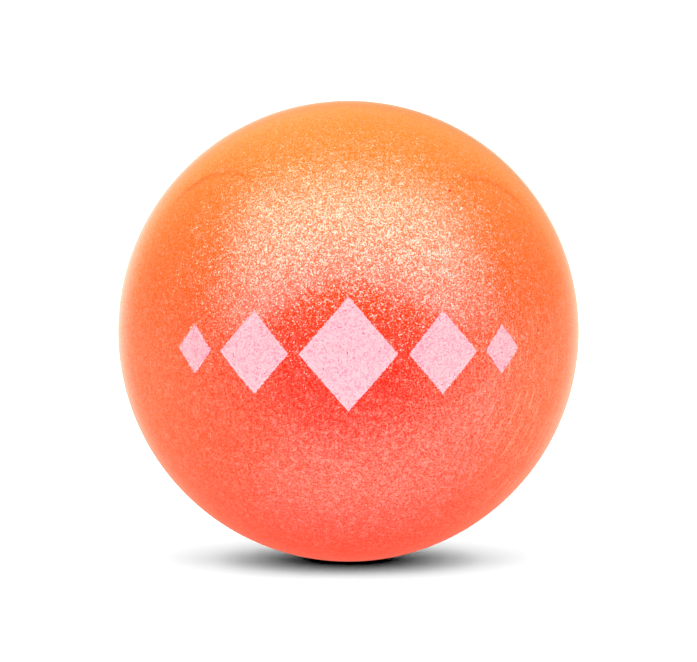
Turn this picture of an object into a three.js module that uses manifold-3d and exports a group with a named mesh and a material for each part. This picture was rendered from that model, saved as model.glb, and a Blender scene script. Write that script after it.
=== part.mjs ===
// Petanque jack: a turned hardwood ball under a white ground coat, a pearl colour coat and a
// clear varnish, with a printed row of lozenges on its face.
// Millimetres, +Z up. The origin is the centre of the ball, the turning axis is Y, and the
// printed face looks along -Y.

import * as THREE from 'three';
import { mergeVertices } from 'three/addons/utils/BufferGeometryUtils.js';
import Module from 'manifold-3d';

const wasm = await Module();
wasm.setup();

// The finished ball, the films that build it up and the line between one film and the next
const BALL_DIAMETER = 30;
const GROUND_FILM = 0.06;
const PEARL_FILM = 0.08;
const VARNISH_FILM = 0.06;
const INK_FILM = 0.05;
const BOND_LINE = 0.005;

// The bare spot at the back, where the ball sat on a pin to be sprayed. Each coat stops a
// little short of the one below it.
const PIN_SPOT_DIAMETER = 1.6;
const COAT_SETBACK = 0.15;

// The printed lozenges, and the space between them along the curve of the face
const CENTRE_WIDTH = 6.4;
const CENTRE_HEIGHT = 7.4;
const INNER_WIDTH = 4.8;
const INNER_HEIGHT = 5.4;
const OUTER_WIDTH = 2.8;
const OUTER_HEIGHT = 3.2;
const LOZENGE_SPACE = 0.7;

// Facets round the turning axis, and along it from pole to pole
const STEPS_ROUND = 32;
const STEPS_ALONG = 16;

// Each surface lies one film or one bond line from the next, counted in from the finished ball
const varnishOuter = BALL_DIAMETER / 2;
const varnishInner = varnishOuter - VARNISH_FILM;
const pearlOuter = varnishInner - BOND_LINE;
const pearlInner = pearlOuter - PEARL_FILM;
const groundOuter = pearlInner - BOND_LINE;
const groundInner = groundOuter - GROUND_FILM;
const coreRadius = groundInner - BOND_LINE;
const inkInner = varnishOuter + BOND_LINE;
const inkOuter = inkInner + INK_FILM;

const groundOpening = PIN_SPOT_DIAMETER / 2;
const pearlOpening = groundOpening + COAT_SETBACK;
const varnishOpening = pearlOpening + COAT_SETBACK;

// Shared vertices are merged and the triangles that shrink to nothing at a pole are dropped.
function weld(geometry) {
  geometry.deleteAttribute('normal');
  geometry.deleteAttribute('uv');
  const merged = mergeVertices(geometry);
  const corners = merged.index.array;
  const kept = [];
  for (let i = 0; i < corners.length; i += 3) {
    const [a, b, c] = corners.subarray(i, i + 3);
    if (a !== b && b !== c && c !== a) kept.push(a, b, c);
  }
  merged.setIndex(kept);
  return merged;
}

function toSolid(geometry) {
  const welded = weld(geometry);
  const vertProperties = new Float32Array(welded.attributes.position.array);
  const triVerts = new Uint32Array(welded.index.array);
  return new wasm.Manifold(new wasm.Mesh({ numProp: 3, vertProperties, triVerts }));
}

function toGeometry(solid) {
  const { vertProperties, triVerts } = solid.getMesh();
  const geometry = new THREE.BufferGeometry();
  geometry.setAttribute('position', new THREE.BufferAttribute(vertProperties, 3));
  geometry.setIndex(new THREE.BufferAttribute(triVerts, 1));
  return geometry;
}

// Profile points from the front pole back to an angle. Every surface turns at the same
// angles, so its facets lie parallel to those of its neighbours.
function profile(radius, endAngle) {
  const points = [];
  const pointAt = (angle) => new THREE.Vector2(radius * Math.sin(angle), -radius * Math.cos(angle));
  for (let step = 0; step < STEPS_ALONG; step++) {
    const angle = (step / STEPS_ALONG) * Math.PI;
    if (angle < endAngle) points.push(pointAt(angle));
  }
  points.push(pointAt(endAngle));
  return points;
}

function ball(radius) {
  return weld(new THREE.LatheGeometry(profile(radius, Math.PI), STEPS_ROUND));
}

// A film round the ball, open at the back over the pin spot
function coat(innerRadius, outerRadius, openingRadius) {
  const outer = profile(outerRadius, Math.PI - Math.asin(openingRadius / outerRadius));
  const inner = profile(innerRadius, Math.PI - Math.asin(openingRadius / innerRadius));
  return weld(new THREE.LatheGeometry([...outer, ...inner.reverse()], STEPS_ROUND));
}

// A lozenge of ink, cut from a film that lies on the varnish. Its centre lies `along` the curve
// of the face, to the right of the front pole where it is positive.
const inkFilm = toSolid(coat(inkInner, inkOuter, varnishOpening));

function lozenge(width, height, along) {
  const outline = new THREE.Shape([
    new THREE.Vector2(width / 2, 0),
    new THREE.Vector2(0, height / 2),
    new THREE.Vector2(-width / 2, 0),
    new THREE.Vector2(0, -height / 2),
  ]);
  const cutter = new THREE.ExtrudeGeometry(outline, { depth: 2 * inkOuter, bevelEnabled: false });
  cutter.rotateX(Math.PI / 2);
  cutter.rotateZ(along / varnishOuter);
  return toGeometry(inkFilm.intersect(toSolid(cutter)));
}

const finishes = {
  wood: { color: 0xd9b383, roughness: 0.7, metalness: 0 },
  ground: { color: 0xf2efe8, roughness: 0.8, metalness: 0 },
  pearl: { color: 0xff5a33, roughness: 0.35, metalness: 0.15 },
  varnish: { color: 0xff7a52, roughness: 0.08, metalness: 0, transparent: true, opacity: 0.35 },
  ink: { color: 0xf8c8cf, roughness: 0.3, metalness: 0 },
};

const jack = new THREE.Group();

function addPiece(name, geometry, finish) {
  geometry.computeVertexNormals();
  const mesh = new THREE.Mesh(geometry, new THREE.MeshStandardMaterial(finish));
  mesh.name = name;
  jack.add(mesh);
}

addPiece('turned_core', ball(coreRadius), finishes.wood);
addPiece('ground_coat', coat(groundInner, groundOuter, groundOpening), finishes.ground);
addPiece('pearl_coat', coat(pearlInner, pearlOuter, pearlOpening), finishes.pearl);
addPiece('varnish_coat', coat(varnishInner, varnishOuter, varnishOpening), finishes.varnish);

// The row of lozenges is laid out from its middle, the same to both sides
const innerAlong = CENTRE_WIDTH / 2 + LOZENGE_SPACE + INNER_WIDTH / 2;
const outerAlong = innerAlong + INNER_WIDTH / 2 + LOZENGE_SPACE + OUTER_WIDTH / 2;

addPiece('ink_lozenge_centre', lozenge(CENTRE_WIDTH, CENTRE_HEIGHT, 0), finishes.ink);
for (const [side, sign] of [['left', -1], ['right', 1]]) {
  const inner = lozenge(INNER_WIDTH, INNER_HEIGHT, sign * innerAlong);
  const outer = lozenge(OUTER_WIDTH, OUTER_HEIGHT, sign * outerAlong);
  addPiece(`ink_lozenge_inner_${side}`, inner, finishes.ink);
  addPiece(`ink_lozenge_outer_${side}`, outer, finishes.ink);
}

export default jack;
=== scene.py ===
"""The looks of a petanque jack: a turned ball in pearl lacquer and varnish, with printed lozenges."""

import math
from types import SimpleNamespace

import bpy
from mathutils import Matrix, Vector


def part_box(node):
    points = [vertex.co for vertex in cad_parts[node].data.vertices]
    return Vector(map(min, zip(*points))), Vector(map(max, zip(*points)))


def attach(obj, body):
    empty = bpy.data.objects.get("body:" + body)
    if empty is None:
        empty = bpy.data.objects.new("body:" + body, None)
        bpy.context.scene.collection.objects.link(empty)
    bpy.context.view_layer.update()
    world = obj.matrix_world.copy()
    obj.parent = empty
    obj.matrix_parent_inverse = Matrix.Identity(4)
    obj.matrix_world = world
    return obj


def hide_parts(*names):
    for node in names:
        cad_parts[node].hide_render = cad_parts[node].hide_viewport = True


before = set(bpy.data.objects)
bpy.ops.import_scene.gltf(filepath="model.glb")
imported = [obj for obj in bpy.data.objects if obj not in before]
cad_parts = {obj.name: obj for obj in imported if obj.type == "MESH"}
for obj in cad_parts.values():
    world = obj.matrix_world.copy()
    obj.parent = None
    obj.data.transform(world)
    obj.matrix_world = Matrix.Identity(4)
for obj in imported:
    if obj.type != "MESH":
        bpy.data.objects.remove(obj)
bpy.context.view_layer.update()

MM = 0.001

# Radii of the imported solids, and the sizes of the part that their boxes don't give
BALL_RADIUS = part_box("varnish_coat")[1].x
GROUND_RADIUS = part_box("ground_coat")[1].x
BOND_LINE = 0.005 * MM
PIN_SPOT_RADIUS = 0.8 * MM
COAT_SETBACK = 0.15 * MM
CENTRE_LOZENGE = (6.4 * MM, 7.4 * MM)
INNER_LOZENGE = (4.8 * MM, 5.4 * MM)
OUTER_LOZENGE = (2.8 * MM, 3.2 * MM)
LOZENGE_SPACE = 0.7 * MM

# The shape of the film: orange peel all over, and rings left by turning. It opens halfway
# between the edges of the two coats that it stands for.
FILM_OPENING = PIN_SPOT_RADIUS + 1.5 * COAT_SETBACK
FILM_SEGMENTS = 257
FILM_ROWS = 321
LIP_ROWS = 9
INNER_ROWS = 25
PEEL_HEIGHT = 0.006 * MM
PEEL_SCALE = 600.0
RING_HEIGHT = 0.003 * MM
RINGS_PER_RADIAN = 28.0
WELD_DISTANCE = 0.0005 * MM

# The shape of the print: a thin film of ink with a ragged edge
PRINT_FILM = 0.02 * MM
PRINT_STEPS = 96
PRINT_EDGE_SHARE = 0.05
PRINT_STRAY = 0.33 * MM
PRINT_STRAY_SCALE = 12000.0

# The colour coat: more orange on the crown, where top light is painted in, darker on the face, where
# shade is painted in, and darker towards the foot
CROWN_PAINTED_LIGHT_COLOUR = (1.0, 0.169, 0.002, 1.0)
SIDE_COLOUR = (1.0, 0.061, 0.002, 1.0)
FACE_PAINTED_SHADE_COLOUR = (1.0, 0.014, 0.001, 1.0)
FOOT_COLOUR = (1.0, 0.028, 0.009, 1.0)
# How far the painted face shade and the painted crown light reach
FACE_SHADE_REACH = (0.58 * BALL_RADIUS, 0.97 * BALL_RADIUS)
CROWN_LIGHT_REACH = (-0.12 * BALL_RADIUS, BALL_RADIUS)
FOOT_REACH = (-BALL_RADIUS, 0.0)

# The flakes in it. Most lie nearly flat, and a few lean far over.
PEARL_COLOUR = (1.0, 0.55, 0.52, 1.0)
PEARL_SHARE = 0.055
PEARL_CHANCE = (0.2, 0.88)
FLAKE_SCALE = 15000.0
FLAKE_LEAN = 0.2
FLAKE_LONG_LEAN = 1.0
FLAKE_LEAN_POWER = 4.0
FLAKE_PINK = (1.0, 0.9, 1.0, 1.0)
FLAKE_GOLD = (1.0, 0.98, 0.9, 1.0)
FLAKE_ROUGHNESS = 0.3
FLAKE_IOR = 2.5
FLAKE_LEAST_GLOSS = 0.02
CLUSTER_SCALE = 2500.0
CLUSTER_EDGE = (0.3, 0.7)
CLUSTER_GLOSS = (0.8, 1.2)
FLECK_SCALE = 6500.0
FLECK_STRETCH = (1.0, 1.0, 0.5)
FLECK_CHANCE = (0.92, 0.97)
FLECK_SHARE = 0.15
LIMB_SHEEN = 0.19
LIMB_TINT = (1.0, 0.38, 0.24, 1.0)
VARNISH_ROUGHNESS = 0.045
VARNISH_IOR = 1.5

# Fine lines about the turning axis, plainest low on the right, and two pinholes in the coat
LINE_COLOUR = (1.0, 0.41, 0.27, 1.0)
LINE_SHARE = 0.6
LINES_PER_RADIAN = 150.0
LINE_BREAKS = 5.0
LINE_EDGE = (0.55, 0.72)
LINE_RIGHT = (0.45 * BALL_RADIUS, 0.75 * BALL_RADIUS)
LINE_FAR_RIGHT = (0.86 * BALL_RADIUS, BALL_RADIUS)
LINE_TOP = (0.0, 0.3 * BALL_RADIUS)
LINE_TRACE = 0.15
PINHOLE_COLOUR = (0.9, 0.013, 0.013, 1.0)
PINHOLES = ((0.813, -0.580, 0.062), (0.435, -0.606, 0.666))
PINHOLE_EDGE = (0.06 * MM, 0.15 * MM)

# Print ink, bare wood and the white ground
INK_COLOUR = (1.0, 0.525, 0.58, 1.0)
INK_FLECK_COLOUR = (0.98, 0.285, 0.42, 1.0)
INK_FLECK_SCALE = 10000.0
INK_FLECK_CHANCE = (0.35, 0.95)
INK_PATCH_SCALE = 1500.0
INK_PATCH_EDGE = (0.3, 0.7)
INK_PATCH_LEAST = 0.5
INK_ROUGHNESS = 0.42
INK_FLECK_ROUGHNESS = 0.3
INK_GLOSS = 0.3
INK_GLOSS_ROUGHNESS = 0.15
WOOD_COLOUR = (0.62, 0.42, 0.22, 1.0)
WOOD_LINE_COLOUR = (0.40, 0.23, 0.10, 1.0)
WOOD_LINE_SCALE = 4500.0
WOOD_LINE_EDGE = (0.4, 0.65)
WOOD_LINE_DEPTH = 0.02 * MM
WOOD_LINE_STRENGTH = 0.3
WOOD_STRETCH = (1.0, 1.0, 0.2)
WOOD_ROUGHNESS = 0.6
WOOD_LINE_ROUGHNESS = 0.8
GROUND_COLOUR = (0.88, 0.87, 0.83, 1.0)
GROUND_SHADE_COLOUR = (0.76, 0.74, 0.69, 1.0)
GROUND_MOTTLE_SCALE = 5000.0
GROUND_MOTTLE_EDGE = (0.2, 0.8)
GROUND_ROUGHNESS = (0.7, 0.9)

# The camera, the floor and the lamps
FRAME_WIDTH_PX = 697
BALL_RADIUS_PX = 230.5
CAMERA_DISTANCE = 0.80
CAMERA_ELEVATION = math.radians(5.8)
SENSOR_WIDTH = 36.0
FLOOR_REACH = 3.0
FLOOR_COLOUR = (0.6, 0.6, 0.6, 1.0)
FLOOR_WHITE = (0.92, 0.92, 0.92, 1.0)
PANEL_WIDTH = 4.0
PANEL_HEIGHT = 0.9
OVERHEAD_LIGHT = 1.76
TABLE_LIGHT = 1.14
FLOOR_LAMPS = 6
FLOOR_LAMP_WIDTH = 1.2
FLOOR_LAMP_DISTANCE = 1.5
FLOOR_LAMP_ELEVATION = math.radians(39.5)
FLOOR_LAMP_LIGHT = 3.22
FLOOR_BACK_SHARE = 0.8

# What the varnish mirrors, by its direction from the ball: pitch in degrees up from the front,
# lean in degrees up from level at the side, and the rest as parts of a unit vector
KEY_LIGHT = (2.52, 2.39, 2.28)
KEY_MIDDLE = 0.03
KEY_LOWER_EDGE = (24.0, 37.0)
KEY_LOWER_BOW = 30.0
KEY_UPPER_EDGE = (61.0, 111.0)
KEY_UPPER_BOW = -15.0
KEY_SIDE_EDGE = (0.7, 1.05)
KEY_TAPER_PITCH = 45.0
KEY_TAPER = 0.003
TABLE_GLOW = (0.58, 0.5, 0.54)
TABLE_MIDDLE = 0.3
TABLE_FAR_EDGE = (-130.0, -70.0)
TABLE_NEAR_EDGE = (-63.0, -29.0)
TABLE_SIDE_EDGE = (0.6, 1.0)
WALL_GLOW = (0.82, 0.65, 0.68)
WALL_DEPTH = (0.72, 0.99)
WALL_TOP = (-0.1, 0.36)
WALL_TOP_SHARE = 0.2
WALL_LEAN = (-60.0, 25.0)
WALL_FOOT_SHARE = 0.06
UPPER_GLOW = (0.8, 0.68, 0.22)
LOWER_GLOW = (0.55, 0.51, 0.24)
HORIZON = (-0.1, 0.15)
GLOW_SIDE = (0.3, 0.9)
GLOW_SIDE_SHARE = 0.5
GLOW_BACK = (0.85, 0.99)
GLOW_BACK_SHARE = 0.55
CAMERA_SIDE = (0.45, 0.9)
CAMERA_SIDE_SHARE = 0.1
FOOT_GLOW = (1.0, 0.1, 0.06)
SHADOW_LEAN = (-80.0, 0.0)
SHADOW_SHARE = 0.11
FRONT_EDGE = (-0.3, 0.3)
UPPER_RIGHT_SIDE = (-0.25, 0.25)
UPPER_RIGHT_FOOT = (-0.25, 0.1)
UPPER_RIGHT_WALL_SHARE = 0.42
UPPER_RIGHT_GLOW_SHARE = 0.85
SEAM_MIDDLE = 0.016
SEAM_PLACE = 0.548
SEAM_EDGE = (0.008, 0.026)
SEAM_START = (106.0, 116.0)
SEAM_END = (150.0, 160.0)


# Building node trees

def set_input(tree, socket, value):
    """Links an input to a socket, or sets it to any other value."""
    if isinstance(value, bpy.types.NodeSocket):
        tree.links.new(value, socket)
    else:
        socket.default_value = value


def add_node(tree, kind, inputs=None, **settings):
    made = tree.nodes.new(kind)
    for name, value in settings.items():
        setattr(made, name, value)
    for key, value in (inputs or {}).items():
        set_input(tree, made.inputs[key], value)
    return made


def maths(tree, operation, *values):
    return add_node(tree, "ShaderNodeMath", dict(enumerate(values)), operation=operation).outputs[0]


def product(tree, first, *others):
    for other in others:
        first = maths(tree, "MULTIPLY", first, other)
    return first


def off_from(tree, value, middle):
    return maths(tree, "ABSOLUTE", maths(tree, "SUBTRACT", value, middle))


def vector_maths(tree, operation, *values):
    node = add_node(tree, "ShaderNodeVectorMath", dict(enumerate(values)), operation=operation)
    return node.outputs["Value" if operation == "LENGTH" else "Vector"]


def scaled(tree, vector, factor):
    inputs = {0: vector, "Scale": factor}
    return add_node(tree, "ShaderNodeVectorMath", inputs, operation="SCALE").outputs[0]


def combine(tree, x=0.0, y=0.0, z=0.0):
    return add_node(tree, "ShaderNodeCombineXYZ", {"X": x, "Y": y, "Z": z}).outputs[0]


def separate(tree, vector):
    return add_node(tree, "ShaderNodeSeparateXYZ", {0: vector}).outputs


def noise(tree, vector, scale, detail=2.0):
    inputs = {"Vector": vector, "Scale": scale, "Detail": detail}
    return add_node(tree, "ShaderNodeTexNoise", inputs).outputs


def ease(tree, value, span, start=0.0, end=1.0):
    """A smooth step of value, from start at the span's low end to end at its high one."""
    low, high = span
    inputs = {"Value": value, "From Min": low, "From Max": high, "To Min": start, "To Max": end}
    return add_node(tree, "ShaderNodeMapRange", inputs, interpolation_type="SMOOTHSTEP").outputs[0]


def fade(tree, value, span, end=0.0):
    return ease(tree, value, span, 1.0, end)


def mix_colour(tree, factor, first, second):
    """The mix node's colour sockets share their names with other types, so they go by number."""
    inputs = {0: factor, 6: first, 7: second}
    return add_node(tree, "ShaderNodeMix", inputs, data_type="RGBA").outputs[2]


# Shapes made by Geometry Nodes

def new_shape_tree(name, sizes):
    """A Geometry Nodes tree with these inputs, and its group's input sockets and output node."""
    tree = bpy.data.node_groups.new(name, "GeometryNodeTree")
    tree.interface.new_socket("Geometry", in_out="OUTPUT", socket_type="NodeSocketGeometry")
    for size, kind in sizes.items():
        tree.interface.new_socket(size, in_out="INPUT", socket_type=f"NodeSocket{kind}")
    return tree, add_node(tree, "NodeGroupInput").outputs, add_node(tree, "NodeGroupOutput")


def place_points(tree, grid, point):
    inputs = {"Geometry": grid.outputs["Mesh"], "Position": point}
    return add_node(tree, "GeometryNodeSetPosition", inputs).outputs[0]


def weld(tree, meshes):
    join = add_node(tree, "GeometryNodeJoinGeometry")
    for mesh in meshes:
        tree.links.new(mesh, join.inputs[0])
    inputs = {"Geometry": join.outputs[0], "Distance": WELD_DISTANCE}
    return add_node(tree, "GeometryNodeMergeByDistance", inputs).outputs[0]


def finish_shape_tree(tree, output, mesh, material):
    smooth = add_node(tree, "GeometryNodeSetShadeSmooth", {"Geometry": mesh}).outputs[0]
    real = add_node(tree, "GeometryNodeRealizeInstances", {"Geometry": smooth}).outputs[0]
    inputs = {"Geometry": real, "Material": material}
    tree.links.new(add_node(tree, "GeometryNodeSetMaterial", inputs).outputs[0], output.inputs[0])


def add_object(name, data):
    made = bpy.data.objects.new(name, data)
    bpy.context.scene.collection.objects.link(made)
    return made


def make_piece(name, tree, values):
    """Runs a shape tree with these values for its inputs and keeps the result as a plain mesh."""
    piece = add_object(name, bpy.data.meshes.new(name))
    modifier = piece.modifiers.new("shape", "NODES")
    modifier.node_group = tree
    for item in tree.interface.items_tree:
        if item.in_out == "INPUT":
            modifier[item.identifier] = values[item.name]
    evaluated = piece.evaluated_get(bpy.context.evaluated_depsgraph_get())
    mesh = bpy.data.meshes.new_from_object(evaluated)
    piece.modifiers.clear()
    piece.data = mesh
    return piece


def turned_surface(tree, segments, rows, profile):
    """A surface turned about Y. For a share of the way, its profile is an angle from -Y and a radius."""
    grid = add_node(tree, "GeometryNodeMeshGrid", {"Vertices X": segments, "Vertices Y": rows})
    share = separate(tree, grid.outputs["UV Map"])
    angle, radius = profile(share["Y"])
    turn = maths(tree, "MULTIPLY", share["X"], math.tau)
    out = maths(tree, "MULTIPLY", radius, maths(tree, "SINE", angle))
    from_back = maths(tree, "SUBTRACT", math.pi, angle)
    return place_points(tree, grid, combine(
        tree,
        maths(tree, "MULTIPLY", out, maths(tree, "SINE", turn)),
        maths(tree, "MULTIPLY", radius, maths(tree, "COSINE", from_back)),
        maths(tree, "MULTIPLY", out, maths(tree, "COSINE", turn)),
    ))


def angle_from_axis(tree, place):
    along = maths(tree, "DIVIDE", separate(tree, place)["Y"], vector_maths(tree, "LENGTH", place))
    return maths(tree, "ARCCOSINE", along)


def film_marks(tree, place, peel_height, ring_height):
    """How far the film stands up: orange peel all over, and faint rings about the turning axis."""
    peel = maths(tree, "SUBTRACT", noise(tree, place, PEEL_SCALE)["Fac"], 0.5)
    ring_place = combine(tree, angle_from_axis(tree, place))
    rings = noise(tree, ring_place, RINGS_PER_RADIAN, detail=3.0)["Fac"]
    ring = maths(tree, "SUBTRACT", rings, 0.5)
    return maths(tree, "MULTIPLY_ADD", peel, peel_height, maths(tree, "MULTIPLY", ring, ring_height))


def film_tree():
    """A film round the ball, open at the pin spot with a rounded lip, its outside marked."""
    tree, size, output = new_shape_tree("Turned film", {
        "Outer radius": "Float",
        "Inner radius": "Float",
        "Opening radius": "Float",
        "Segments": "Int",
        "Rows": "Int",
        "Lip rows": "Int",
        "Inner rows": "Int",
        "Peel height": "Float",
        "Ring height": "Float",
        "Material": "Material",
    })
    outer, inner = size["Outer radius"], size["Inner radius"]
    opening = maths(tree, "ARCSINE", maths(tree, "DIVIDE", size["Opening radius"], outer))
    end = maths(tree, "SUBTRACT", math.pi, opening)
    middle = maths(tree, "MULTIPLY", maths(tree, "ADD", outer, inner), 0.5)
    half_film = maths(tree, "MULTIPLY", maths(tree, "SUBTRACT", outer, inner), 0.5)

    def outside(share):
        return maths(tree, "MULTIPLY", share, end), outer

    def lip(share):
        bend = maths(tree, "MULTIPLY", share, math.pi)
        reach = maths(tree, "MULTIPLY", half_film, maths(tree, "SINE", bend))
        angle = maths(tree, "ADD", end, maths(tree, "DIVIDE", reach, middle))
        return angle, maths(tree, "MULTIPLY_ADD", half_film, maths(tree, "COSINE", bend), middle)

    def inside(share):
        return maths(tree, "MULTIPLY", maths(tree, "SUBTRACT", 1.0, share), end), inner

    profiles = {"Rows": outside, "Lip rows": lip, "Inner rows": inside}
    welded = weld(tree, [
        turned_surface(tree, size["Segments"], size[rows], profile)
        for rows, profile in profiles.items()
    ])
    place = add_node(tree, "GeometryNodeInputPosition").outputs[0]
    shown = maths(tree, "GREATER_THAN", vector_maths(tree, "LENGTH", place), middle)
    height = film_marks(tree, place, size["Peel height"], size["Ring height"])
    normal = add_node(tree, "GeometryNodeInputNormal").outputs[0]
    offset = scaled(tree, normal, maths(tree, "MULTIPLY", height, shown))
    inputs = {"Geometry": welded, "Offset": offset}
    marked = add_node(tree, "GeometryNodeSetPosition", inputs).outputs[0]
    finish_shape_tree(tree, output, marked, size["Material"])
    return tree


def ragged_lozenge(tree, size, share):
    """Points of a flat lozenge in XZ for shares from -1 to 1 along its two pairs of edges."""
    across = maths(tree, "SUBTRACT", share["X"], share["Y"])
    up = maths(tree, "ADD", share["X"], share["Y"])
    quarter_width = maths(tree, "MULTIPLY", size["Width"], 0.25)
    quarter_height = maths(tree, "MULTIPLY", size["Height"], 0.25)
    flat = combine(
        tree,
        maths(tree, "MULTIPLY", across, quarter_width),
        0.0,
        maths(tree, "MULTIPLY", up, quarter_height),
    )
    laid = vector_maths(tree, "ADD", flat, combine(tree, size["Along"]))
    chance = noise(tree, laid, PRINT_STRAY_SCALE, detail=3.0)["Color"]
    wander = vector_maths(tree, "SUBTRACT", chance, (0.5, 0.5, 0.5))
    return separate(tree, vector_maths(tree, "ADD", flat, scaled(tree, wander, size["Stray"])))


def printed_face(tree, size, top):
    """The top or the underside of the ink: a lozenge laid on the ball and turned to its place."""
    steps = {"Vertices X": size["Steps"], "Vertices Y": size["Steps"]}
    grid = add_node(tree, "GeometryNodeMeshGrid", steps)
    doubled = scaled(tree, grid.outputs["UV Map"], 2.0)
    share = separate(tree, vector_maths(tree, "SUBTRACT", doubled, (1.0, 1.0, 0.0)))
    point = ragged_lozenge(tree, size, share)
    far_along = maths(tree, "ABSOLUTE", share["X"])
    far_across = maths(tree, "ABSOLUTE", share["Y"])
    to_edge = maths(tree, "SUBTRACT", 1.0, maths(tree, "MAXIMUM", far_along, far_across))
    lift = ease(tree, to_edge, (0.0, PRINT_EDGE_SHARE)) if top else 0.0
    radius = maths(tree, "MULTIPLY_ADD", size["Film"], lift, size["Seat radius"])
    side = vector_maths(tree, "LENGTH", combine(tree, point["X"], 0.0, point["Z"]))
    squares = maths(tree, "MULTIPLY", radius, radius), maths(tree, "MULTIPLY", side, side)
    depth = maths(tree, "SQRT", maths(tree, "SUBTRACT", *squares))
    curved = combine(tree, point["X"], maths(tree, "MULTIPLY", depth, -1.0), point["Z"])
    turn = {"Vector": curved, "Angle": maths(tree, "DIVIDE", size["Along"], size["Seat radius"])}
    turned = add_node(tree, "ShaderNodeVectorRotate", turn, rotation_type="Z_AXIS").outputs[0]
    mesh = place_points(tree, grid, turned)
    return mesh if top else add_node(tree, "GeometryNodeFlipFaces", {"Mesh": mesh}).outputs[0]


def print_tree():
    """A lozenge of ink on the ball: a film that thins to nothing at a slightly ragged edge."""
    tree, size, output = new_shape_tree("Printed lozenge", {
        "Width": "Float",
        "Height": "Float",
        "Along": "Float",
        "Seat radius": "Float",
        "Film": "Float",
        "Stray": "Float",
        "Steps": "Int",
        "Material": "Material",
    })
    faces = [printed_face(tree, size, top) for top in (True, False)]
    finish_shape_tree(tree, output, weld(tree, faces), size["Material"])
    return tree


# Materials

def new_material(name):
    material = bpy.data.materials.new(name)
    material.use_nodes = True
    return material, material.node_tree


def dress(tree, inputs):
    shader = tree.nodes["Principled BSDF"]
    for key, value in inputs.items():
        set_input(tree, shader.inputs[key], value)


def object_place(tree):
    return add_node(tree, "ShaderNodeTexCoord").outputs["Object"]


def cells(tree, place, scale):
    inputs = {"Vector": place, "Scale": scale, "Randomness": 1.0}
    return add_node(tree, "ShaderNodeTexVoronoi", inputs).outputs


def cell_chance(tree, cell):
    return add_node(tree, "ShaderNodeTexWhiteNoise", {"Vector": cell["Position"]}).outputs["Value"]


def painted_face_shade(tree, place):
    """One in the middle of the face, where shade is painted into the coat, and nought at the sides."""
    front = maths(tree, "MULTIPLY", separate(tree, place)["Y"], -1.0)
    return ease(tree, front, FACE_SHADE_REACH)


def coat_colour_and_painted_light(tree, place):
    """The colour coat with painted light: painted top light on the crown, painted shade on the face, and
    darker towards the foot.
    """
    up = separate(tree, place)["Z"]
    # Painted shade: the face is mixed towards a darker red than the sides
    middle = mix_colour(tree, painted_face_shade(tree, place), SIDE_COLOUR, FACE_PAINTED_SHADE_COLOUR)
    lower = mix_colour(tree, ease(tree, up, FOOT_REACH), FOOT_COLOUR, middle)
    # Painted top light: the crown is mixed towards orange
    return mix_colour(tree, ease(tree, up, CROWN_LIGHT_REACH), lower, CROWN_PAINTED_LIGHT_COLOUR)


def pearl_flakes(tree, place):
    """Flakes of pearl, each with its own brightness, lean and tint."""
    flake = cells(tree, place, FLAKE_SCALE)
    chance = cell_chance(tree, flake)
    toward = vector_maths(tree, "SUBTRACT", flake["Color"], (0.5, 0.5, 0.5))
    rare = maths(tree, "POWER", chance, FLAKE_LEAN_POWER)
    lean = ease(tree, rare, (0.0, 1.0), FLAKE_LEAN, FLAKE_LONG_LEAN)
    normal = add_node(tree, "ShaderNodeNewGeometry").outputs["Normal"]
    leaning = vector_maths(tree, "ADD", normal, scaled(tree, toward, lean))
    bright = ease(tree, chance, PEARL_CHANCE)
    cluster = ease(tree, noise(tree, place, CLUSTER_SCALE)["Fac"], CLUSTER_EDGE, *CLUSTER_GLOSS)
    return SimpleNamespace(
        bright=bright,
        gloss=product(tree, ease(tree, bright, (0.0, 1.0), FLAKE_LEAST_GLOSS, 1.0), cluster),
        normal=vector_maths(tree, "NORMALIZE", leaning),
        tint=mix_colour(tree, separate(tree, flake["Color"])["X"], FLAKE_PINK, FLAKE_GOLD),
    )


def pale_flecks(tree, place):
    """Sparse larger flakes, drawn out a little along the turning lines at the sides."""
    stretched = vector_maths(tree, "MULTIPLY", place, FLECK_STRETCH)
    chance = cell_chance(tree, cells(tree, stretched, FLECK_SCALE))
    return ease(tree, chance, FLECK_CHANCE, 0.0, FLECK_SHARE)


def turning_lines(tree, place):
    """Fine broken lines about the turning axis, plainest low on the right of the face."""
    part = separate(tree, place)
    angle = maths(tree, "MULTIPLY", angle_from_axis(tree, place), LINES_PER_RADIAN)
    round_axis = vector_maths(tree, "NORMALIZE", combine(tree, 0.0, part["X"], part["Z"]))
    line_place = vector_maths(tree, "ADD", combine(tree, angle), scaled(tree, round_axis, LINE_BREAKS))
    lines = noise(tree, line_place, scale=1.0, detail=1.0)["Fac"]
    right = ease(tree, part["X"], LINE_RIGHT, LINE_TRACE, 1.0)
    far_right = fade(tree, part["X"], LINE_FAR_RIGHT, LINE_TRACE)
    low = fade(tree, part["Z"], LINE_TOP, LINE_TRACE)
    return product(tree, ease(tree, lines, LINE_EDGE), right, far_right, low, LINE_SHARE)


def pinholes(tree, place):
    """One inside a pinhole, and nought elsewhere."""
    holes = 0.0
    for direction in PINHOLES:
        centre = Vector(direction).normalized() * BALL_RADIUS
        away = vector_maths(tree, "LENGTH", vector_maths(tree, "SUBTRACT", place, centre))
        holes = maths(tree, "ADD", holes, fade(tree, away, PINHOLE_EDGE))
    return holes


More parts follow.
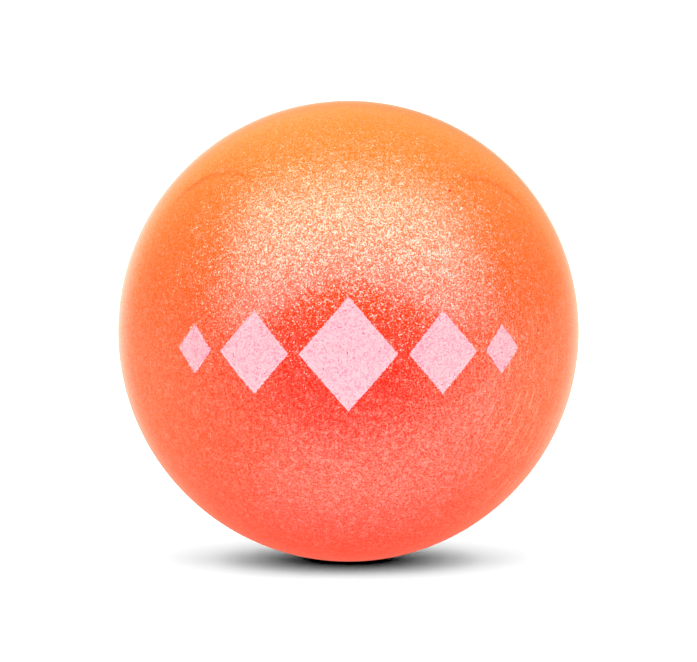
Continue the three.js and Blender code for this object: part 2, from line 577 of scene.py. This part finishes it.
def pearl_lacquer():
    """Orange-red lacquer full of pearl flakes, each leaning its own way, under clear varnish."""
    material, tree = new_material("pearl_lacquer")
    place = object_place(tree)
    flakes = pearl_flakes(tree, place)
    hole = pinholes(tree, place)
    # Fewer pale pearls on the face: painted shade
    outside_face_shade = maths(tree, "SUBTRACT", 1.0, painted_face_shade(tree, place))
    pearl = product(tree, flakes.bright, outside_face_shade, PEARL_SHARE)
    colour = mix_colour(tree, pearl, coat_colour_and_painted_light(tree, place), PEARL_COLOUR)
    colour = mix_colour(tree, pale_flecks(tree, place), colour, PEARL_COLOUR)
    colour = mix_colour(tree, turning_lines(tree, place), colour, LINE_COLOUR)
    dress(tree, {
        "Base Color": mix_colour(tree, hole, colour, PINHOLE_COLOUR),
        "Roughness": FLAKE_ROUGHNESS,
        "IOR": FLAKE_IOR,
        "Specular Tint": flakes.tint,
        "Specular IOR Level": product(tree, flakes.gloss, maths(tree, "SUBTRACT", 1.0, hole)),
        "Normal": flakes.normal,
        "Coat Weight": 1.0,
        "Coat Roughness": VARNISH_ROUGHNESS,
        "Coat IOR": VARNISH_IOR,
        "Sheen Weight": LIMB_SHEEN,
        "Sheen Tint": LIMB_TINT,
    })
    return material


def print_ink():
    """Pale pink ink, flecked with mauve where the pearl under it shows through."""
    material, tree = new_material("print_ink")
    place = object_place(tree)
    fleck = ease(tree, cell_chance(tree, cells(tree, place, INK_FLECK_SCALE)), INK_FLECK_CHANCE)
    cloud = noise(tree, place, INK_PATCH_SCALE)["Fac"]
    patch = ease(tree, cloud, INK_PATCH_EDGE, INK_PATCH_LEAST, 1.0)
    dress(tree, {
        "Base Color": mix_colour(tree, product(tree, fleck, patch), INK_COLOUR, INK_FLECK_COLOUR),
        "Roughness": ease(tree, fleck, (0.0, 1.0), INK_ROUGHNESS, INK_FLECK_ROUGHNESS),
        "Coat Weight": INK_GLOSS,
        "Coat Roughness": INK_GLOSS_ROUGHNESS,
    })
    return material


def bare_wood():
    """End grain of a pale hardwood, seen only at the pin spot."""
    material, tree = new_material("bare_wood")
    stretched = vector_maths(tree, "MULTIPLY", object_place(tree), WOOD_STRETCH)
    grain = noise(tree, stretched, WOOD_LINE_SCALE, detail=4.0)["Fac"]
    line = ease(tree, grain, WOOD_LINE_EDGE)
    inputs = {"Height": line, "Strength": WOOD_LINE_STRENGTH, "Distance": WOOD_LINE_DEPTH}
    dress(tree, {
        "Base Color": mix_colour(tree, line, WOOD_COLOUR, WOOD_LINE_COLOUR),
        "Roughness": ease(tree, line, (0.0, 1.0), WOOD_ROUGHNESS, WOOD_LINE_ROUGHNESS),
        "Normal": add_node(tree, "ShaderNodeBump", inputs).outputs["Normal"],
    })
    return material


def white_ground():
    """Matt white sealer with a faint mottle."""
    material, tree = new_material("white_ground")
    mottle = noise(tree, object_place(tree), GROUND_MOTTLE_SCALE, detail=3.0)["Fac"]
    dress(tree, {
        "Base Color": mix_colour(tree, mottle, GROUND_SHADE_COLOUR, GROUND_COLOUR),
        "Roughness": ease(tree, mottle, GROUND_MOTTLE_EDGE, *GROUND_ROUGHNESS),
    })
    return material


# The pieces

def add_lacquer():
    """One film stands for the colour coat and the varnish, which is the coat of its material."""
    lacquer = make_piece("lacquered_film", film_tree(), {
        "Outer radius": BALL_RADIUS,
        "Inner radius": GROUND_RADIUS + BOND_LINE,
        "Opening radius": FILM_OPENING,
        "Segments": FILM_SEGMENTS,
        "Rows": FILM_ROWS,
        "Lip rows": LIP_ROWS,
        "Inner rows": INNER_ROWS,
        "Peel height": PEEL_HEIGHT,
        "Ring height": RING_HEIGHT,
        "Material": pearl_lacquer(),
    })
    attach(lacquer, "root")
    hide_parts("pearl_coat", "varnish_coat")
    return lacquer


def printed_row():
    """Each lozenge's size and its place along the face, laid out from the middle to both sides alike."""
    inner_along = CENTRE_LOZENGE[0] / 2 + LOZENGE_SPACE + INNER_LOZENGE[0] / 2
    outer_along = inner_along + INNER_LOZENGE[0] / 2 + LOZENGE_SPACE + OUTER_LOZENGE[0] / 2
    row = {"centre": (CENTRE_LOZENGE, 0.0)}
    for side, sign in (("left", -1), ("right", 1)):
        row[f"inner_{side}"] = (INNER_LOZENGE, sign * inner_along)
        row[f"outer_{side}"] = (OUTER_LOZENGE, sign * outer_along)
    return row


def add_printed_row():
    tree, ink = print_tree(), print_ink()
    lozenges = []
    for place, ((width, height), along) in printed_row().items():
        lozenge = make_piece(f"printed_lozenge_{place}", tree, {
            "Width": width,
            "Height": height,
            "Along": along,
            "Seat radius": BALL_RADIUS + BOND_LINE,
            "Film": PRINT_FILM,
            "Stray": PRINT_STRAY,
            "Steps": PRINT_STEPS,
            "Material": ink,
        })
        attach(lozenge, "root")
        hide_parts(f"ink_lozenge_{place}")
        lozenges.append(lozenge)
    return lozenges


def dress_hidden_layers():
    """The core and the ground stay as they were packed, with a material of their own."""
    core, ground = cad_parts["turned_core"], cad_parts["ground_coat"]
    core.material_slots[0].material = bare_wood()
    ground.material_slots[0].material = white_ground()
    return [core, ground]


# The studio

def white_paper():
    """Paper that the camera sees as white, and that throws less light back at the ball."""
    material, tree = new_material("white_paper")
    seen = add_node(tree, "ShaderNodeLightPath").outputs["Is Camera Ray"]
    inputs = {"Color": mix_colour(tree, seen, FLOOR_COLOUR, FLOOR_WHITE)}
    paper = add_node(tree, "ShaderNodeBsdfDiffuse", inputs).outputs[0]
    tree.links.new(paper, tree.nodes["Material Output"].inputs["Surface"])
    return material


def lay_floor():
    """The varnish mirrors the room, not the floor, and light from under the table comes through it."""
    mesh = bpy.data.meshes.new("floor")
    corners = [
        (x * FLOOR_REACH, y * FLOOR_REACH, -BALL_RADIUS)
        for x, y in ((-1, -1), (1, -1), (1, 1), (-1, 1))
    ]
    mesh.from_pydata(corners, [], [(0, 1, 2, 3)])
    mesh.materials.append(white_paper())
    floor = add_object("floor", mesh)
    floor.visible_glossy = False
    floor.visible_shadow = False
    return floor


def hang_panel(name, place, width, radiance):
    """A wide flat lamp that faces the ball. Only its light is seen."""
    data = bpy.data.lights.new(name, "AREA")
    data.shape = "SQUARE"
    data.size = width
    data.energy = radiance * math.pi * width * width
    data.cycles.use_multiple_importance_sampling = False
    lamp = add_object(name, data)
    lamp.location = place
    lamp.rotation_euler = lamp.location.to_track_quat("Z", "Y").to_euler()
    lamp.visible_camera = False
    lamp.visible_glossy = False
    return lamp


def linked_to(item, name, state):
    """A collection that keeps a lamp's light to one object, or keeps it off that object."""
    collection = bpy.data.collections.new(name)
    collection.objects.link(item)
    collection.collection_objects[0].light_linking.link_state = state
    return collection


def light_tent(floor):
    """Panels above and below light the ball, and a ring of lamps lights the floor alone."""
    overhead = hang_panel("overhead", (0.0, 0.0, PANEL_HEIGHT), PANEL_WIDTH, OVERHEAD_LIGHT)
    hang_panel("under_table", (0.0, 0.0, -PANEL_HEIGHT), PANEL_WIDTH, TABLE_LIGHT)
    overhead.light_linking.receiver_collection = linked_to(floor, "all_but_floor", "EXCLUDE")
    only_floor = linked_to(floor, "only_floor", "INCLUDE")
    for number in range(FLOOR_LAMPS):
        azimuth = math.tau * number / FLOOR_LAMPS
        place = FLOOR_LAMP_DISTANCE * Vector((
            math.cos(FLOOR_LAMP_ELEVATION) * math.cos(azimuth),
            math.cos(FLOOR_LAMP_ELEVATION) * math.sin(azimuth),
            math.sin(FLOOR_LAMP_ELEVATION),
        ))
        light = FLOOR_LAMP_LIGHT * (FLOOR_BACK_SHARE if place.y > BALL_RADIUS else 1.0)
        lamp = hang_panel(f"floor_lamp_{number}", place, FLOOR_LAMP_WIDTH, light)
        lamp.light_linking.receiver_collection = only_floor


def room_direction(tree):
    """A direction from the ball, by its parts and by the angles that the room is laid out in."""
    x, y, z = separate(tree, add_node(tree, "ShaderNodeTexCoord").outputs["Generated"])
    front = maths(tree, "MULTIPLY", y, -1.0)
    aside = maths(tree, "ABSOLUTE", x)
    over_sight = maths(tree, "ADD", z, math.sin(CAMERA_ELEVATION))
    pitch = maths(tree, "DEGREES", maths(tree, "ARCTAN2", z, front))
    lean = maths(tree, "DEGREES", maths(tree, "ARCTAN2", over_sight, aside))
    return SimpleNamespace(
        x=x, y=y, z=z, front=front, aside=aside, pitch=pitch, lean=lean,
        past_shadow=ease(tree, lean, SHADOW_LEAN, SHADOW_SHARE, 1.0),
        past_camera=fade(tree, front, CAMERA_SIDE, CAMERA_SIDE_SHARE),
    )


def key_panel(tree, way):
    """A softbox over the front, its long edges bowed and its upper corners cut."""
    off_middle = off_from(tree, way.x, KEY_MIDDLE)
    bow = product(tree, off_middle, off_middle)
    lower = ease(tree, maths(tree, "MULTIPLY_ADD", bow, KEY_LOWER_BOW, way.pitch), KEY_LOWER_EDGE)
    upper = fade(tree, maths(tree, "MULTIPLY_ADD", bow, KEY_UPPER_BOW, way.pitch), KEY_UPPER_EDGE)
    over = maths(tree, "MAXIMUM", maths(tree, "SUBTRACT", way.pitch, KEY_TAPER_PITCH), 0.0)
    side = fade(tree, maths(tree, "MULTIPLY_ADD", over, KEY_TAPER, off_middle), KEY_SIDE_EDGE)
    return product(tree, lower, upper, side)


def bright_table(tree, way):
    """The table in front of the ball and under it."""
    near = fade(tree, way.pitch, TABLE_NEAR_EDGE)
    side = fade(tree, off_from(tree, way.x, TABLE_MIDDLE), TABLE_SIDE_EDGE)
    return product(tree, ease(tree, way.pitch, TABLE_FAR_EDGE), near, side)


def upper_right(tree, way):
    """The corner of the room that is a little darker than the rest."""
    return product(
        tree, ease(tree, way.x, UPPER_RIGHT_SIDE), ease(tree, way.z, UPPER_RIGHT_FOOT))


def back_wall(tree, way):
    """The wall behind the ball, which gives it its pale rim."""
    top = fade(tree, way.z, WALL_TOP, WALL_TOP_SHARE)
    foot = ease(tree, way.lean, WALL_LEAN, WALL_FOOT_SHARE, 1.0)
    corner = fade(tree, upper_right(tree, way), (0.0, 1.0), UPPER_RIGHT_WALL_SHARE)
    return product(tree, ease(tree, way.y, WALL_DEPTH), top, foot, corner)


def upper_room(tree, way):
    """The walls and the ceiling, dimmer towards the camera, the sides and the back."""
    side = fade(tree, way.aside, GLOW_SIDE, GLOW_SIDE_SHARE)
    back = fade(tree, way.y, GLOW_BACK, GLOW_BACK_SHARE)
    corner = fade(tree, upper_right(tree, way), (0.0, 1.0), UPPER_RIGHT_GLOW_SHARE)
    return product(tree, ease(tree, way.z, HORIZON), way.past_camera, side, back, corner)


def lower_room(tree, way):
    """The floor round the ball, dark behind it where its own shadow lies."""
    lit = maths(tree, "MAXIMUM", way.past_shadow, ease(tree, way.front, FRONT_EDGE))
    return product(tree, fade(tree, way.z, HORIZON), way.past_camera, lit)


def glowing_foot(tree, way):
    """The ball's own colour, seen in the floor behind it."""
    shadowed = maths(tree, "SUBTRACT", 1.0, way.past_shadow)
    return product(tree, shadowed, fade(tree, way.front, FRONT_EDGE))


def past_seams(tree, way):
    """Nought on the two dark seams between the panels over the back, and one elsewhere."""
    off_middle = off_from(tree, way.x, SEAM_MIDDLE)
    off_seam = ease(tree, off_from(tree, off_middle, SEAM_PLACE), SEAM_EDGE)
    before = fade(tree, way.pitch, SEAM_START)
    beyond = ease(tree, way.pitch, SEAM_END)
    return maths(tree, "MAXIMUM", off_seam, maths(tree, "MAXIMUM", before, beyond))


def mirrored_room(tree):
    """What the varnish and the flakes mirror, by direction."""
    way = room_direction(tree)
    shares = {
        KEY_LIGHT: key_panel(tree, way),
        TABLE_GLOW: bright_table(tree, way),
        WALL_GLOW: back_wall(tree, way),
        UPPER_GLOW: upper_room(tree, way),
        LOWER_GLOW: lower_room(tree, way),
        FOOT_GLOW: glowing_foot(tree, way),
    }
    light = (0.0, 0.0, 0.0)
    for colour, share in shares.items():
        light = vector_maths(tree, "ADD", light, scaled(tree, colour, share))
    return scaled(tree, light, past_seams(tree, way))


def build_room():
    """White for the camera and the mirrored room for gloss. All other light comes from the lamps."""
    world = bpy.data.worlds.new("room")
    world.use_nodes = True
    world.cycles.sampling_method = "NONE"
    bpy.context.scene.world = world
    tree = world.node_tree
    path = add_node(tree, "ShaderNodeLightPath").outputs
    mirrored = maths(tree, "MAXIMUM", path["Is Glossy Ray"], path["Is Transmission Ray"])
    plain = mix_colour(tree, path["Is Camera Ray"], (0.0, 0.0, 0.0, 1.0), (1.0, 1.0, 1.0, 1.0))
    colour = mix_colour(tree, mirrored, plain, mirrored_room(tree))
    tree.links.new(colour, tree.nodes["Background"].inputs["Color"])


def place_camera():
    """Aimed at the ball's centre, with the lens that gives the ball its size in the frame."""
    data = bpy.data.cameras.new("camera")
    focal_px = BALL_RADIUS_PX / math.tan(math.asin(BALL_RADIUS / CAMERA_DISTANCE))
    data.sensor_width = SENSOR_WIDTH
    data.lens = focal_px * SENSOR_WIDTH / FRAME_WIDTH_PX
    camera = add_object("camera", data)
    away = Vector((0.0, -math.cos(CAMERA_ELEVATION), math.sin(CAMERA_ELEVATION)))
    camera.location = away * CAMERA_DISTANCE
    camera.rotation_euler = away.to_track_quat("Z", "Y").to_euler()
    bpy.context.scene.camera = camera


pieces = [add_lacquer(), *add_printed_row(), *dress_hidden_layers()]

# The floor takes the ball's shadow but not its colour
for piece in pieces:
    piece.visible_diffuse = False

light_tent(lay_floor())
build_room()
place_camera()
bpy.context.scene.view_settings.view_transform = "Standard"
